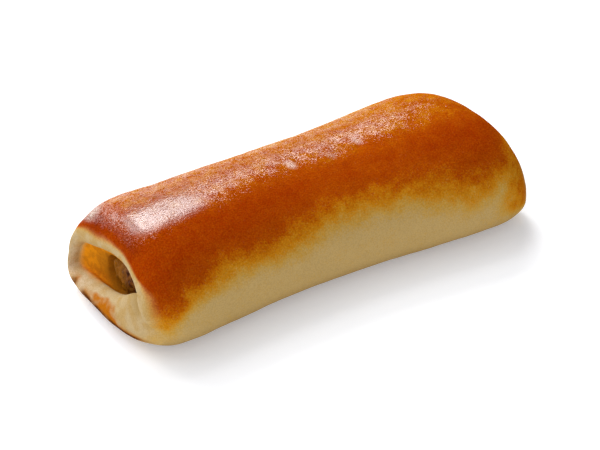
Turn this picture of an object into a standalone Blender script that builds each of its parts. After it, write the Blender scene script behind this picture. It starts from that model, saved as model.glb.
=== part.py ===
"""A baked sausage roll: a tube of soft bread dough round a core of minced meat.

+X runs along the roll, from the open end that faces the viewer to the far end, -Y is the side
that faces the viewer, and Z = 0 is the surface that the roll rests on. The origin lies on that
surface, under the middle of the roll's box. Sizes are in millimetres until a mesh is made.
"""

from dataclasses import dataclass

import bmesh
import bpy
import numpy as np

MM = 0.001

# Outer form, at stations spread evenly from -HALF_SPAN to +HALF_SPAN along the roll
HALF_SPAN = 68.5
HALF_WIDTHS = (26.5, 27.5, 26.7, 26.4, 26.7, 27.6, 29.0, 29.9, 27.9)
HEIGHTS = (32.2, 33.8, 33.8, 33.9, 33.3, 33.1, 34.0, 34.9, 33.1)
CENTRE_LINE = (0.5, 1.0, 1.3, 1.4, 1.4, 1.0, 0.1, -1.0, -2.6)
WIDEST_AT = 0.40            # share of the height where the roll is widest
TOP_EXPONENT = 2.23         # superellipse exponents: 2 is an ellipse, more is squarer
BASE_EXPONENT = 3.28
REST_FLAT = 0.45            # the roll's own weight presses this much of the underside flat

# Channel that the meat fills, and the meat's fit in it. A section is given by its middle in y
# and z, half its width and half its height. At the near end the dough draws in round the meat.
CHANNEL = (2.8, 15.2, 17.6, 9.8)
NECK = (1.5, 12.2, 10.6, 6.8)
NECK_END = -56.0            # from here the neck widens to the channel
NECK_TAPER = 12.0
CHANNEL_EXPONENT = 2.5
CHANNEL_STATIONS = (-56.0, -53.0, -50.0, -47.0, -44.0, -18.0, 8.0, 34.0)
FIT_GAP = 0.45
MEAT_DOME = 1.8             # how far the middle of the meat's face stands proud of its edge
MEAT_EDGE_ROUND = 1.6
MEAT_LUMP = 0.7             # height of the coarse grain on the meat's faces

# Shallow dents across the ridge: (middle x, middle y, half length), with a shared slant
RIDGE_DENTS = ((0.9, 2.2, 4.0), (14.0, -0.2, 5.0), (22.0, -0.5, 5.5))
DENT_SLANT = 0.75           # change in x for each step in y
DENT_DEPTH = 0.3
DENT_HALF_WIDTH = 2.6

# Flap where the front wall laps over the lower lip of an open end; angles in degrees
FLAP_STEP = 14.0            # width of the step at its crease
FLAP_REACH = 45.0           # over this the flap eases back into the wall
CREASE_SWING = 40.0         # the crease turns this far from the rim to the mouth

# Mesh fineness
AROUND = 56
BODY_STEPS = 32
SHOULDER_STEPS = 8
LIP_STEPS = 4
POCKET_STEPS = 4
FACE_RADII = (0.3, 0.55, 0.75, 0.9)


@dataclass(frozen=True)
class End:
    """One open end. Values in fours are at the back, top, front and bottom of the rim."""

    side: int                           # -1 at low x, +1 at high x
    shoulder: float                     # length over which the body rounds over towards the rim
    rim_x: tuple[float, ...]            # where the rim stands out furthest
    rim_share: tuple[float, ...]        # where it does so, from 0 at the mouth to 1 at the body
    lip_depth: tuple[float, ...]        # how far the rim turns back in before it meets the mouth
    mouth_y: tuple[float, ...]          # outline of the mouth, at even angles from the back
    mouth_z: tuple[float, ...]
    pocket_end: float                   # x where the open pocket has narrowed to the channel
    meat_x: float                       # x of the meat's edge
    flap_rise: float                    # how far the front wall laps over the lower lip
    flap_angle: float                   # angle of the crease beside that flap, in degrees


NEAR_END = End(
    side=-1, shoulder=13.1,
    rim_x=(-66.9, -64.0, -65.4, -69.6), rim_share=(0.54, 0.12, 0.46, 0.46), lip_depth=(3.0, 1.6, 1.8, 4.6),
    mouth_y=(24.5, 21.5, 11.0, 1.5, -6.0, -12.0, -14.2, -10.5, -4.0, 5.0, 15.0, 24.0),
    mouth_z=(11.0, 15.8, 19.8, 23.0, 23.5, 22.0, 20.0, 17.4, 13.0, 10.2, 8.1, 6.7),
    pocket_end=-60.5, meat_x=-59.0, flap_rise=1.2, flap_angle=186.0,
)
FAR_END = End(
    side=1, shoulder=10.9,
    rim_x=(63.9, 67.3, 69.9, 70.1), rim_share=(0.36, 0.33, 0.47, 0.65), lip_depth=(3.0, 1.8, 2.4, 4.0),
    mouth_y=(19.0, 17.0, 9.5, 0.0, -9.0, -15.0, -17.5, -15.5, -8.0, 0.0, 8.0, 16.0),
    mouth_z=(12.0, 17.0, 21.5, 23.2, 21.5, 17.0, 12.0, 7.8, 6.8, 6.4, 6.6, 7.6),
    pocket_end=59.0, meat_x=56.5, flap_rise=1.0, flap_angle=232.0,
)


def spline(before, start, end, after, t):
    """Catmull-Rom curve from start to end, at t from 0 to 1."""
    slope = (end - before) * t
    bend = (2 * before - 5 * start + 4 * end - after) * t ** 2
    twist = (3 * start - before - 3 * end + after) * t ** 3
    return start + 0.5 * (slope + bend + twist)


def along(stations, x):
    """Value at x of a smooth curve through the stations along the roll."""
    values = np.asarray(stations, float)
    padded = np.concatenate([[2 * values[0] - values[1]], values, [2 * values[-1] - values[-2]]])
    place = (np.asarray(x, float) + HALF_SPAN) / (2 * HALF_SPAN) * (len(values) - 1)
    index = np.clip(np.floor(place).astype(int), 0, len(values) - 2)
    return spline(*(padded[index + step] for step in range(4)), place - index)


def around(outline, angle):
    """Value at an angle of a smooth closed curve through evenly spaced outline values."""
    values = np.asarray(outline, float)
    place = (angle / (2 * np.pi) % 1) * len(values)
    index = np.floor(place).astype(int)
    return spline(*(values[(index + step) % len(values)] for step in (-1, 0, 1, 2)), place - index)


def quarters(values, angle):
    """Smooth value round the rim through its values at the back, top, front and bottom."""
    back, top, front, bottom = values
    sway = (back - front) / 2 * np.cos(angle) + (top - bottom) / 2 * np.sin(angle)
    return np.mean(values) + sway + (back + front - top - bottom) / 4 * np.cos(2 * angle)


def smoothstep(t):
    """Ease from 0 to 1 as t goes from 0 to 1."""
    t = np.clip(t, 0, 1)
    return t * t * (3 - 2 * t)


def superellipse(angle, exponent):
    """Sideways and upward parts of a unit superellipse at an angle."""
    cos, sin = np.cos(angle), np.sin(angle)
    power = 2 / exponent
    return np.sign(cos) * np.abs(cos) ** power, np.sign(sin) * np.abs(sin) ** power


def body_section(x, angle):
    """Outline of the roll at x: a round loaf top over a squarer base."""
    exponent = np.where(np.sin(angle) >= 0, TOP_EXPONENT, BASE_EXPONENT)
    out, up = superellipse(angle, exponent)
    height = along(HEIGHTS, x)
    reach = np.where(up >= 0, 1 - WIDEST_AT, WIDEST_AT)
    y = along(CENTRE_LINE, x) + along(HALF_WIDTHS, x) * out
    return y, height * (WIDEST_AT + reach * up)


def channel_section(x, angle, gap=0.0):
    """Outline of the meat channel at x, drawn in by a gap."""
    neck, channel = np.array(NECK), np.array(CHANNEL)
    widening = smoothstep((x - NECK_END) / NECK_TAPER)
    middle_y, middle_z, half_width, half_height = neck + (channel - neck) * widening
    out, up = superellipse(angle, CHANNEL_EXPONENT)
    return middle_y + (half_width - gap) * out, middle_z + (half_height - gap) * up


def ring(x, y, z):
    """One ring of points round the roll, from its coordinates."""
    x, y, z = np.broadcast_arrays(x, y, z)
    return np.stack([x, y, z], axis=-1)


def flap(end, angle, progress):
    """Lift of the front wall beside its crease; progress is 0 at the shoulder, 2 at the mouth."""
    crease = end.flap_angle - CREASE_SWING * np.clip(progress - 1, 0, 1)
    past = crease - np.degrees(angle)
    lap = smoothstep(past / FLAP_STEP) * np.exp(-(np.maximum(past, 0) / FLAP_REACH) ** 2)
    return end.flap_rise * lap * smoothstep(1.4 * progress - 0.3)


def end_rings(end, angle):
    """Rings from the body's shoulder, over the rim and in to where the channel begins."""
    mouth = np.stack([around(end.mouth_y, angle), around(end.mouth_z, angle)])
    rim_x = quarters(end.rim_x, angle)
    share = quarters(end.rim_share, angle)
    depth = quarters(end.lip_depth, angle)
    shoulder_x = end.side * (HALF_SPAN - end.shoulder)
    rings = []
    for step in range(SHOULDER_STEPS + 1):
        turn = step / SHOULDER_STEPS * np.pi / 2
        x = shoulder_x + (rim_x - shoulder_x) * np.sin(turn)
        outer = np.stack(body_section(x, angle))
        crest = mouth + (outer - mouth) * share
        y, z = crest + (outer - crest) * np.cos(turn)
        rings.append(ring(x + end.side * flap(end, angle, step / SHOULDER_STEPS), y, z))
    crest = rings[-1][:, 1:].T
    for step in range(1, LIP_STEPS + 1):
        turn = step / LIP_STEPS * np.pi / 2
        x = rim_x - end.side * depth * (1 - np.cos(turn))
        y, z = crest + (mouth - crest) * np.sin(turn)
        rings.append(ring(x + end.side * flap(end, angle, 1 + step / LIP_STEPS), y, z))
    lip = rings[-1]
    channel = ring(end.pocket_end, *channel_section(end.pocket_end, angle))
    for step in range(1, POCKET_STEPS + 1):
        progress = step / POCKET_STEPS
        blended = lip + (channel - lip) * smoothstep(progress)
        blended[:, 0] = lip[:, 0] + (end.pocket_end - lip[:, 0]) * progress
        rings.append(blended)
    return rings


def ridge_dent(points):
    """Depth of the shallow dents across the ridge, at each point."""
    depth = np.zeros(len(points))
    for middle_x, middle_y, half_length in RIDGE_DENTS:
        beside = points[:, 1] - middle_y
        off_line = points[:, 0] - middle_x - DENT_SLANT * beside
        depth += np.exp(-(off_line / DENT_HALF_WIDTH) ** 2) * np.exp(-(beside / half_length) ** 2)
    on_top = smoothstep(points[:, 2] / np.mean(HEIGHTS) * 4 - 3)
    return DENT_DEPTH * depth * on_top


def dough_rings(angle):
    """Closed run of rings: out along the body, in at the far end, back along the channel."""
    near, far = end_rings(NEAR_END, angle), end_rings(FAR_END, angle)
    body = []
    for x in np.linspace(near[0][0, 0], far[0][0, 0], BODY_STEPS + 1)[1:-1]:
        points = ring(x, *body_section(x, angle))
        points[:, 2] -= ridge_dent(points)
        body.append(points)
    channel = [ring(x, *channel_section(x, angle)) for x in CHANNEL_STATIONS[::-1]]
    return body + far + channel + near[::-1]


def meat_lumps(y, z):
    """Coarse grain of minced meat over its end faces, from -1 to 1."""
    return (np.sin(0.42 * y + 0.35 * z) + np.sin(0.55 * y - 0.48 * z + 1.7)) / 2


def meat_face(end, angle):
    """Rings over one face of the meat, from its edge to near its middle, and the middle point."""
    edge_y, edge_z = channel_section(end.meat_x, angle, FIT_GAP)
    round_y, round_z = channel_section(end.meat_x, angle, FIT_GAP + 0.3 * MEAT_EDGE_ROUND)
    middle_y, middle_z = edge_y.mean(), edge_z.mean()
    rings = [
        ring(end.meat_x - end.side * MEAT_EDGE_ROUND, edge_y, edge_z),
        ring(end.meat_x - end.side * 0.4 * MEAT_EDGE_ROUND, round_y, round_z),
    ]
    for radius in (*FACE_RADII[::-1], 0.0):
        y = middle_y + radius * (edge_y - middle_y)
        z = middle_z + radius * (edge_z - middle_z)
        out = MEAT_DOME * (1 - radius ** 2) + MEAT_LUMP * meat_lumps(y, z)
        rings.append(ring(end.meat_x + end.side * out, y, z))
    return rings[:-1], rings[-1][0]


def settle(points, origin):
    """Points as the roll rests: underside pressed flat, then moved so that the origin is at zero."""
    rested = points.copy()
    rested[:, 2] = np.maximum(rested[:, 2] - REST_FLAT, 0)
    return (rested - origin) * MM


def link(bm, first, second):
    """Faces between two rings of vertices."""
    for index in range(len(first)):
        after = (index + 1) % len(first)
        bm.faces.new((first[index], first[after], second[after], second[index]))


def add_object(name, bm, material):
    """Turn a bmesh into a smooth-shaded object with its faces pointing out."""
    bmesh.ops.recalc_face_normals(bm, faces=bm.faces)
    mesh = bpy.data.meshes.new(name)
    bm.to_mesh(mesh)
    bm.free()
    mesh.shade_smooth()
    mesh.materials.append(material)
    bpy.context.scene.collection.objects.link(bpy.data.objects.new(name, mesh))


def make_material(name, colour, roughness):
    """Principled material of one colour."""
    material = bpy.data.materials.new(name)
    material.use_nodes = True
    shader = material.node_tree.nodes["Principled BSDF"]
    shader.inputs["Base Color"].default_value = (*colour, 1.0)
    shader.inputs["Roughness"].default_value = roughness
    shader.inputs["Metallic"].default_value = 0.0
    return material


def build_dough(rings, origin):
    """The bread tube, one closed skin through both mouths."""
    bm = bmesh.new()
    loops = [[bm.verts.new(point) for point in settle(points, origin)] for points in rings]
    for index, loop in enumerate(loops):
        link(bm, loop, loops[(index + 1) % len(loops)])
    add_object("dough", bm, make_material("baked_crust", (0.46, 0.16, 0.035), 0.38))


def build_filling(angle, origin):
    """The core of minced meat, a little short of both mouths."""
    near, near_middle = meat_face(NEAR_END, angle)
    far, far_middle = meat_face(FAR_END, angle)
    run = [ring(x, *channel_section(x, angle, FIT_GAP)) for x in CHANNEL_STATIONS]
    bm = bmesh.new()
    loops = [[bm.verts.new(p) for p in settle(points, origin)] for points in near[::-1] + run + far]
    for first, second in zip(loops, loops[1:]):
        link(bm, first, second)
    for middle, loop in ((near_middle, loops[0]), (far_middle, loops[-1])):
        tip = bm.verts.new(settle(middle[None], origin)[0])
        for index, vertex in enumerate(loop):
            bm.faces.new((tip, vertex, loop[(index + 1) % len(loop)]))
    add_object("filling", bm, make_material("minced_meat", (0.20, 0.10, 0.06), 0.6))


def main():
    """Clear the scene and build the two pieces round the same origin."""
    for old in list(bpy.data.objects):
        bpy.data.objects.remove(old)
    angle = np.linspace(0, 2 * np.pi, AROUND, endpoint=False)
    rings = dough_rings(angle)
    points = np.concatenate(rings)
    low, high = points.min(axis=0), points.max(axis=0)
    origin = np.array([(low[0] + high[0]) / 2, (low[1] + high[1]) / 2, 0.0])
    build_dough(rings, origin)
    build_filling(angle, origin)


main()
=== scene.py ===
"""Looks of a baked sausage roll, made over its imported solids.

The roll's skin and its meat are built again here as fine meshes from the same named sizes as the
solids, with the relief, browning and glaze that a plain solid leaves out. Form sizes are in
millimetres; meshes, lights and the camera are placed in metres, in the frame of the solids.
"""

import logging
from collections.abc import Iterable
from dataclasses import dataclass, field
from enum import Enum

import bpy
import numpy as np
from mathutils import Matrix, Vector, noise


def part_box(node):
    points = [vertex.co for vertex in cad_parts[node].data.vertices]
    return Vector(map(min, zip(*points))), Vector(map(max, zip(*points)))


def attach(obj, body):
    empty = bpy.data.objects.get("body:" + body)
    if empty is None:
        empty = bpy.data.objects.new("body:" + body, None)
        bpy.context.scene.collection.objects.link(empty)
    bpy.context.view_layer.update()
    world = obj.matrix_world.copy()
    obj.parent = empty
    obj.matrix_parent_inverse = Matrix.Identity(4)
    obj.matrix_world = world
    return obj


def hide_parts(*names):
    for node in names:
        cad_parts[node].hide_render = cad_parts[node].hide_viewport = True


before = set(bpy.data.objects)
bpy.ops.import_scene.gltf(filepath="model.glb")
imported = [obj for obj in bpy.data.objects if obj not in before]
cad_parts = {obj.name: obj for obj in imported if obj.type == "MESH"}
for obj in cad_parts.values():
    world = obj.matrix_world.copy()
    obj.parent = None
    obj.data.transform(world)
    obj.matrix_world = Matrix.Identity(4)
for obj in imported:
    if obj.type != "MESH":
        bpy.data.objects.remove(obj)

MM = 0.001
LOG = logging.getLogger("sausage_roll")
QUARTER_TURN = np.pi / 2
SEED_SHIFT = (17.3, -9.1, 5.7)          # how far one seed moves the noise from the next

Values = float | np.ndarray
Row = tuple[float, ...]
Outline = tuple[np.ndarray, np.ndarray]
Colour = tuple[float, float, float]
Stops = tuple[tuple[float, Colour], ...]
Socket = bpy.types.NodeSocket


# Small curve helpers

def spline(before: Values, start: Values, end: Values, after: Values, t: Values) -> Values:
    """Catmull-Rom curve from start to end.

    Args:
        before, start, end, after: four neighbouring values.
        t: place between start and end, from 0 to 1.

    Returns:
        The value at t.
    """
    slope = (end - before) * t
    bend = (2 * before - 5 * start + 4 * end - after) * t ** 2
    twist = (3 * start - before - 3 * end + after) * t ** 3
    return start + 0.5 * (slope + bend + twist)


def smoothstep(t: Values) -> Values:
    """Ease from 0 to 1 as t goes from 0 to 1."""
    t = np.clip(t, 0, 1)
    return t * t * (3 - 2 * t)


def bell(offset: Values, width: float) -> Values:
    """Smooth bump of height 1 at offset 0, down to about a third at one width."""
    return np.exp(-(offset / width) ** 2)


def turn_from(angle: np.ndarray, middle: float) -> np.ndarray:
    """Signed degrees from a middle angle, in the range -180 to 180."""
    return (np.degrees(angle) - middle + 180) % 360 - 180


def around(outline: Row, angle: np.ndarray) -> np.ndarray:
    """Value at an angle of a smooth closed curve.

    Args:
        outline: the curve's values at even angles.
        angle: where it is read, in radians.

    Returns:
        One value for each angle.
    """
    values = np.asarray(outline, float)
    place = (angle / (2 * np.pi) % 1) * len(values)
    index = np.floor(place).astype(int)
    return spline(*(values[(index + step) % len(values)] for step in (-1, 0, 1, 2)), place - index)


def quarters(values: Row, angle: np.ndarray) -> np.ndarray:
    """Smooth value round the rim.

    Args:
        values: what it is at the back, top, front and bottom.
        angle: where it is read, in radians.

    Returns:
        One value for each angle.
    """
    back, top, front, bottom = values
    sway = (back - front) / 2 * np.cos(angle) + (top - bottom) / 2 * np.sin(angle)
    return np.mean(values) + sway + (back + front - top - bottom) / 4 * np.cos(2 * angle)


def superellipse(angle: np.ndarray, exponent: Values) -> Outline:
    """Sideways and upward parts of a unit superellipse.

    Args:
        angle: where it is read, in radians.
        exponent: 2 for an ellipse, more for a squarer outline.

    Returns:
        Both parts, from -1 to 1.
    """
    cos, sin = np.cos(angle), np.sin(angle)
    power = 2 / exponent
    return np.sign(cos) * np.abs(cos) ** power, np.sign(sin) * np.abs(sin) ** power


def grain(points: np.ndarray, size: float, seed: int) -> np.ndarray:
    """Smooth noise at each point.

    Args:
        points: places in millimetres, in rows of three.
        size: rough size of one lump of the noise, in millimetres.
        seed: shifts the noise, so that layers differ.

    Returns:
        One value for each point, mostly between -1 and 1.
    """
    shift = Vector([seed * step for step in SEED_SHIFT])
    flat = points.reshape(-1, 3) / size
    values = np.fromiter((noise.noise(Vector(p) + shift) for p in flat.tolist()), float, len(flat))
    return values.reshape(points.shape[:-1])


@dataclass(frozen=True)
class Lumps:
    """Layers of noise: the size of one lump in millimetres, a seed and a strength for each."""

    layers: tuple[tuple[float, int, float], ...]

    def at(self, points: np.ndarray) -> np.ndarray:
        """Sum of the layers at each point."""
        return sum(strength * grain(points, size, seed) for size, seed, strength in self.layers)


@dataclass(frozen=True)
class Rise:
    """Smooth rise from 0 to 1 that begins at a start and takes a length."""

    start: float
    length: float

    def at(self, value: Values) -> Values:
        """Height of the rise at a value."""
        return smoothstep((value - self.start) / self.length)


@dataclass(frozen=True)
class Fall:
    """Smooth fall from 1 to 0 that takes a length and is over at an end."""

    end: float
    length: float

    def at(self, value: Values) -> Values:
        """Height of the fall at a value."""
        return smoothstep((self.end - value) / self.length)


@dataclass(frozen=True)
class Span:
    """A smooth rise and a later fall."""

    rise: Rise
    fall: Fall

    def at(self, value: Values) -> Values:
        """Height of the span at a value."""
        return self.rise.at(value) * self.fall.at(value)


@dataclass(frozen=True)
class Bump:
    """Smooth bump of height 1 at its middle."""

    middle: float
    width: float

    def at(self, value: Values) -> Values:
        """Height of the bump at a value."""
        return bell(value - self.middle, self.width)

    def turned(self, angle: np.ndarray) -> np.ndarray:
        """Height at an angle in radians of a bump whose middle and width are in degrees."""
        return bell(turn_from(angle, self.middle), self.width)


# The form of the roll, in millimetres

@dataclass(frozen=True)
class End:
    """One open end. Values in fours are at the back, top, front and bottom of the rim."""

    side: int                           # -1 at low x, +1 at high x
    shoulder: float                     # length over which the body rounds over towards the rim
    rim_x: Row                          # where the rim stands out furthest
    rim_share: Row                      # where it does so, from 0 at the mouth to 1 at the body
    lip_depth: Row                      # how far the rim turns back in before it meets the mouth
    mouth_y: Row                        # outline of the mouth, at even angles from the back
    mouth_z: Row
    pocket_end: float                   # x where the open pocket has narrowed to the channel
    meat_x: float                       # x of the meat's edge
    flap_rise: float                    # how far the front wall laps over the lower lip
    flap_angle: float                   # angle of the crease beside that flap, in degrees


NEAR_END = End(
    side=-1, shoulder=13.1,
    rim_x=(-66.9, -64.0, -65.4, -69.6), rim_share=(0.54, 0.12, 0.46, 0.46), lip_depth=(3.0, 1.6, 1.8, 4.6),
    mouth_y=(24.5, 21.5, 11.0, 1.5, -6.0, -12.0, -14.2, -10.5, -4.0, 5.0, 15.0, 24.0),
    mouth_z=(11.0, 15.8, 19.8, 23.0, 23.5, 22.0, 20.0, 17.4, 13.0, 10.2, 8.1, 6.7),
    pocket_end=-60.5, meat_x=-59.0, flap_rise=1.2, flap_angle=186.0,
)
FAR_END = End(
    side=1, shoulder=10.9,
    rim_x=(63.9, 67.3, 69.9, 70.1), rim_share=(0.36, 0.33, 0.47, 0.65), lip_depth=(3.0, 1.8, 2.4, 4.0),
    mouth_y=(19.0, 17.0, 9.5, 0.0, -9.0, -15.0, -17.5, -15.5, -8.0, 0.0, 8.0, 16.0),
    mouth_z=(12.0, 17.0, 21.5, 23.2, 21.5, 17.0, 12.0, 7.8, 6.8, 6.4, 6.6, 7.6),
    pocket_end=59.0, meat_x=56.5, flap_rise=1.0, flap_angle=232.0,
)


@dataclass(frozen=True)
class Dent:
    """A shallow dent across the ridge: its middle and half its length, in millimetres."""

    x: float
    y: float
    half_length: float


@dataclass(frozen=True)
class RollForm:
    """Outer form and meat channel of the roll."""

    half_span: float = 68.5
    half_widths: Row = (26.5, 27.5, 26.7, 26.4, 26.7, 27.6, 29.0, 29.9, 27.9)
    heights: Row = (32.2, 33.8, 33.8, 33.9, 33.3, 33.1, 34.0, 34.9, 33.1)
    centre_line: Row = (0.5, 1.0, 1.3, 1.4, 1.4, 1.0, 0.1, -1.0, -2.6)
    widest_at: float = 0.40                 # share of the height where the roll is widest
    top_exponent: float = 2.23              # superellipse exponents: 2 is an ellipse, more is squarer
    base_exponent: float = 3.28
    rest_flat: float = 0.45                 # how much of the underside the weight presses flat
    channel: Row = (2.8, 15.2, 17.6, 9.8)   # middle y, z, half width, half height
    neck: Row = (1.5, 12.2, 10.6, 6.8)      # the same, drawn in at the near end
    widening: Rise = Rise(-56.0, 12.0)      # in x: the neck widens to the channel
    channel_exponent: float = 2.5
    channel_stations: Row = (-56.0, -53.0, -50.0, -47.0, -44.0, -18.0, 8.0, 34.0)
    dents: tuple[Dent, ...] = (Dent(0.9, 2.2, 4.0), Dent(14.0, -0.2, 5.0), Dent(22.0, -0.5, 5.5))
    dent_slant: float = 0.75                # change in x for each step in y
    dent_depth: float = 0.3
    dent_half_width: float = 2.6
    dent_height: Rise = Rise(0.75, 0.25)    # in shares of the height: dents are on top alone
    flap_step: Rise = Rise(0.0, 4.5)        # degrees over which the front wall steps up at its crease
    flap_reach: float = 45.0                # degrees over which it eases back into the wall
    flap_onset: Rise = Rise(3 / 14, 5 / 7)  # in progress over the end
    crease_swing: float = 40.0              # the crease turns this far from the rim to the mouth

    def along(self, stations: Row, x: Values) -> np.ndarray:
        """Value of a smooth curve along the roll.

        Args:
            stations: its values at even distances over the span.
            x: where it is read.

        Returns:
            One value for each x.
        """
        values = np.asarray(stations, float)
        padded = np.concatenate([[2 * values[0] - values[1]], values, [2 * values[-1] - values[-2]]])
        place = (np.asarray(x, float) + self.half_span) / (2 * self.half_span) * (len(values) - 1)
        index = np.clip(np.floor(place).astype(int), 0, len(values) - 2)
        return spline(*(padded[index + step] for step in range(4)), place - index)

    def section(self, x: Values, angle: np.ndarray) -> Outline:
        """Outline of the roll: a round loaf top over a squarer base.

        Args:
            x: where the roll is cut, as one number or one for each angle.
            angle: angles round the outline, in radians.

        Returns:
            The outline's y and z.
        """
        exponent = np.where(np.sin(angle) >= 0, self.top_exponent, self.base_exponent)
        out, up = superellipse(angle, exponent)
        reach = np.where(up >= 0, 1 - self.widest_at, self.widest_at)
        y = self.along(self.centre_line, x) + self.along(self.half_widths, x) * out
        return y, self.along(self.heights, x) * (self.widest_at + reach * up)

    def channel_section(self, x: float, angle: np.ndarray, gap: float = 0.0) -> Outline:
        """Outline of the meat channel.

        Args:
            x: where it is cut.
            angle: angles round the outline, in radians.
            gap: how far the outline is drawn in.

        Returns:
            The outline's y and z.
        """
        neck, channel = np.array(self.neck), np.array(self.channel)
        middle_y, middle_z, half_width, half_height = neck + (channel - neck) * self.widening.at(x)
        out, up = superellipse(angle, self.channel_exponent)
        return middle_y + (half_width - gap) * out, middle_z + (half_height - gap) * up

    def crease(self, end: End, progress: float) -> float:
        """Angle of the crease beside the flap; progress is 1 at the rim and 2 at the mouth."""
        return end.flap_angle - self.crease_swing * min(max(progress - 1, 0), 1)

    def flap(self, end: End, angle: np.ndarray, progress: float) -> np.ndarray:
        """Lift of the front wall beside its crease.

        Args:
            end: the end that the flap is on.
            angle: angles round the ring, in radians.
            progress: how far over the end the ring is.

        Returns:
            How far each point stands out, in millimetres.
        """
        past = self.crease(end, progress) - np.degrees(angle)
        lap = self.flap_step.at(past) * bell(np.maximum(past, 0), self.flap_reach)
        return end.flap_rise * lap * self.flap_onset.at(progress)

    def ridge_dent(self, points: np.ndarray) -> np.ndarray:
        """Depth of the shallow dents across the ridge.

        Args:
            points: places in millimetres, in rows of three.

        Returns:
            The depth at each point.
        """
        depth = np.zeros(points.shape[:-1])
        for dent in self.dents:
            beside = points[..., 1] - dent.y
            off_line = points[..., 0] - dent.x - self.dent_slant * beside
            depth += bell(off_line, self.dent_half_width) * bell(beside, dent.half_length)
        return self.dent_depth * depth * self.dent_height.at(points[..., 2] / np.mean(self.heights))


class Zone(Enum):
    """Which stretch of the skin a ring of points belongs to."""

    BODY = 0
    NEAR = 1
    FAR = 2
    CHANNEL = 3


@dataclass
class Skin:
    """Rings of points over the whole dough, as one closed run through both mouths.

    Progress over an end is 0 at its shoulder, 1 at its rim, 2 at its mouth and 3 in the channel.
    """

    points: list[np.ndarray] = field(default_factory=list)
    zones: list[Zone] = field(default_factory=list)
    progress: list[float] = field(default_factory=list)

    def add(self, zone: Zone, progress: float, x: Values, y: Values, z: Values) -> None:
        """Add one ring.

        Args:
            zone: the stretch that it belongs to.
            progress: how far over its end it is.
            x, y, z: its coordinates, one number or one for each point.
        """
        self.points.append(np.stack(np.broadcast_arrays(x, y, z), axis=-1))
        self.zones.append(zone)
        self.progress.append(progress)

    def extend(self, other: "Skin", backwards: bool = False) -> None:
        """Append another run of rings.

        Args:
            other: the run that is added.
            backwards: whether it is turned end for end.
        """
        step = -1 if backwards else 1
        self.points += other.points[::step]
        self.zones += other.zones[::step]
        self.progress += other.progress[::step]


# Node graphs, written as expressions

@dataclass(frozen=True)
class Texture:
    """A noise texture: the size of its lumps in millimetres, its detail and its roughness."""

    size: float
    detail: float = 2.0
    roughness: float = 0.5


class Wire:
    """A number on a node's socket. Its operators add Math nodes to the graph."""

    def __init__(self, graph: "Graph", socket: Socket) -> None:
        """Keep the graph that the socket is in."""
        self.graph = graph
        self.socket = socket

    def math(self, operation: str, *values: object, clamp: bool = False) -> "Wire":
        """Result of one Math node.

        Args:
            operation: the node's operation.
            values: its inputs in order, as numbers or wires.
            clamp: whether the result is kept between 0 and 1.

        Returns:
            The node's output.
        """
        settings = {"operation": operation, "use_clamp": clamp}
        return self.graph.node("ShaderNodeMath", settings, dict(enumerate(values))).wire(0)

    def __add__(self, other: object) -> "Wire":
        """Sum."""
        return self.math("ADD", self, other)

    __radd__ = __add__

    def __sub__(self, other: object) -> "Wire":
        """Difference."""
        return self.math("SUBTRACT", self, other)

    def __rsub__(self, other: object) -> "Wire":
        """Difference from a number."""
        return self.math("SUBTRACT", other, self)

    def __mul__(self, other: object) -> "Wire":
        """Product."""
        return self.math("MULTIPLY", self, other)

    __rmul__ = __mul__

    def larger(self, other: object) -> "Wire":
        """The larger of two values."""
        return self.math("MAXIMUM", self, other)

    def clipped(self) -> "Wire":
        """The value kept between 0 and 1."""
        return self.math("ADD", self, 0.0, clamp=True)

    def eased(self, low: float, high: float, at_low: float = 0.0, at_high: float = 1.0) -> "Wire":
        """Smooth change from one number to another.

        Args:
            low, high: the values of this wire between which the change takes place.
            at_low, at_high: what the result is below and above them.

        Returns:
            The node's output.
        """
        settings = {"interpolation_type": "SMOOTHSTEP", "data_type": "FLOAT"}
        inputs = {"Value": self, "From Min": low, "From Max": high, "To Min": at_low, "To Max": at_high}
        return self.graph.node("ShaderNodeMapRange", settings, inputs).wire("Result")


class NodeRef:
    """A node in a graph, with its outputs at hand."""

    def __init__(self, graph: "Graph", node: bpy.types.Node) -> None:
        """Keep the node and its graph."""
        self.graph = graph
        self.node = node

    def wire(self, name: int | str) -> Wire:
        """One output as a number."""
        return Wire(self.graph, self.node.outputs[name])

    def out(self, name: int | str) -> Socket:
        """One output as a bare socket, for colours, vectors and shaders."""
        return self.node.outputs[name]


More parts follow.
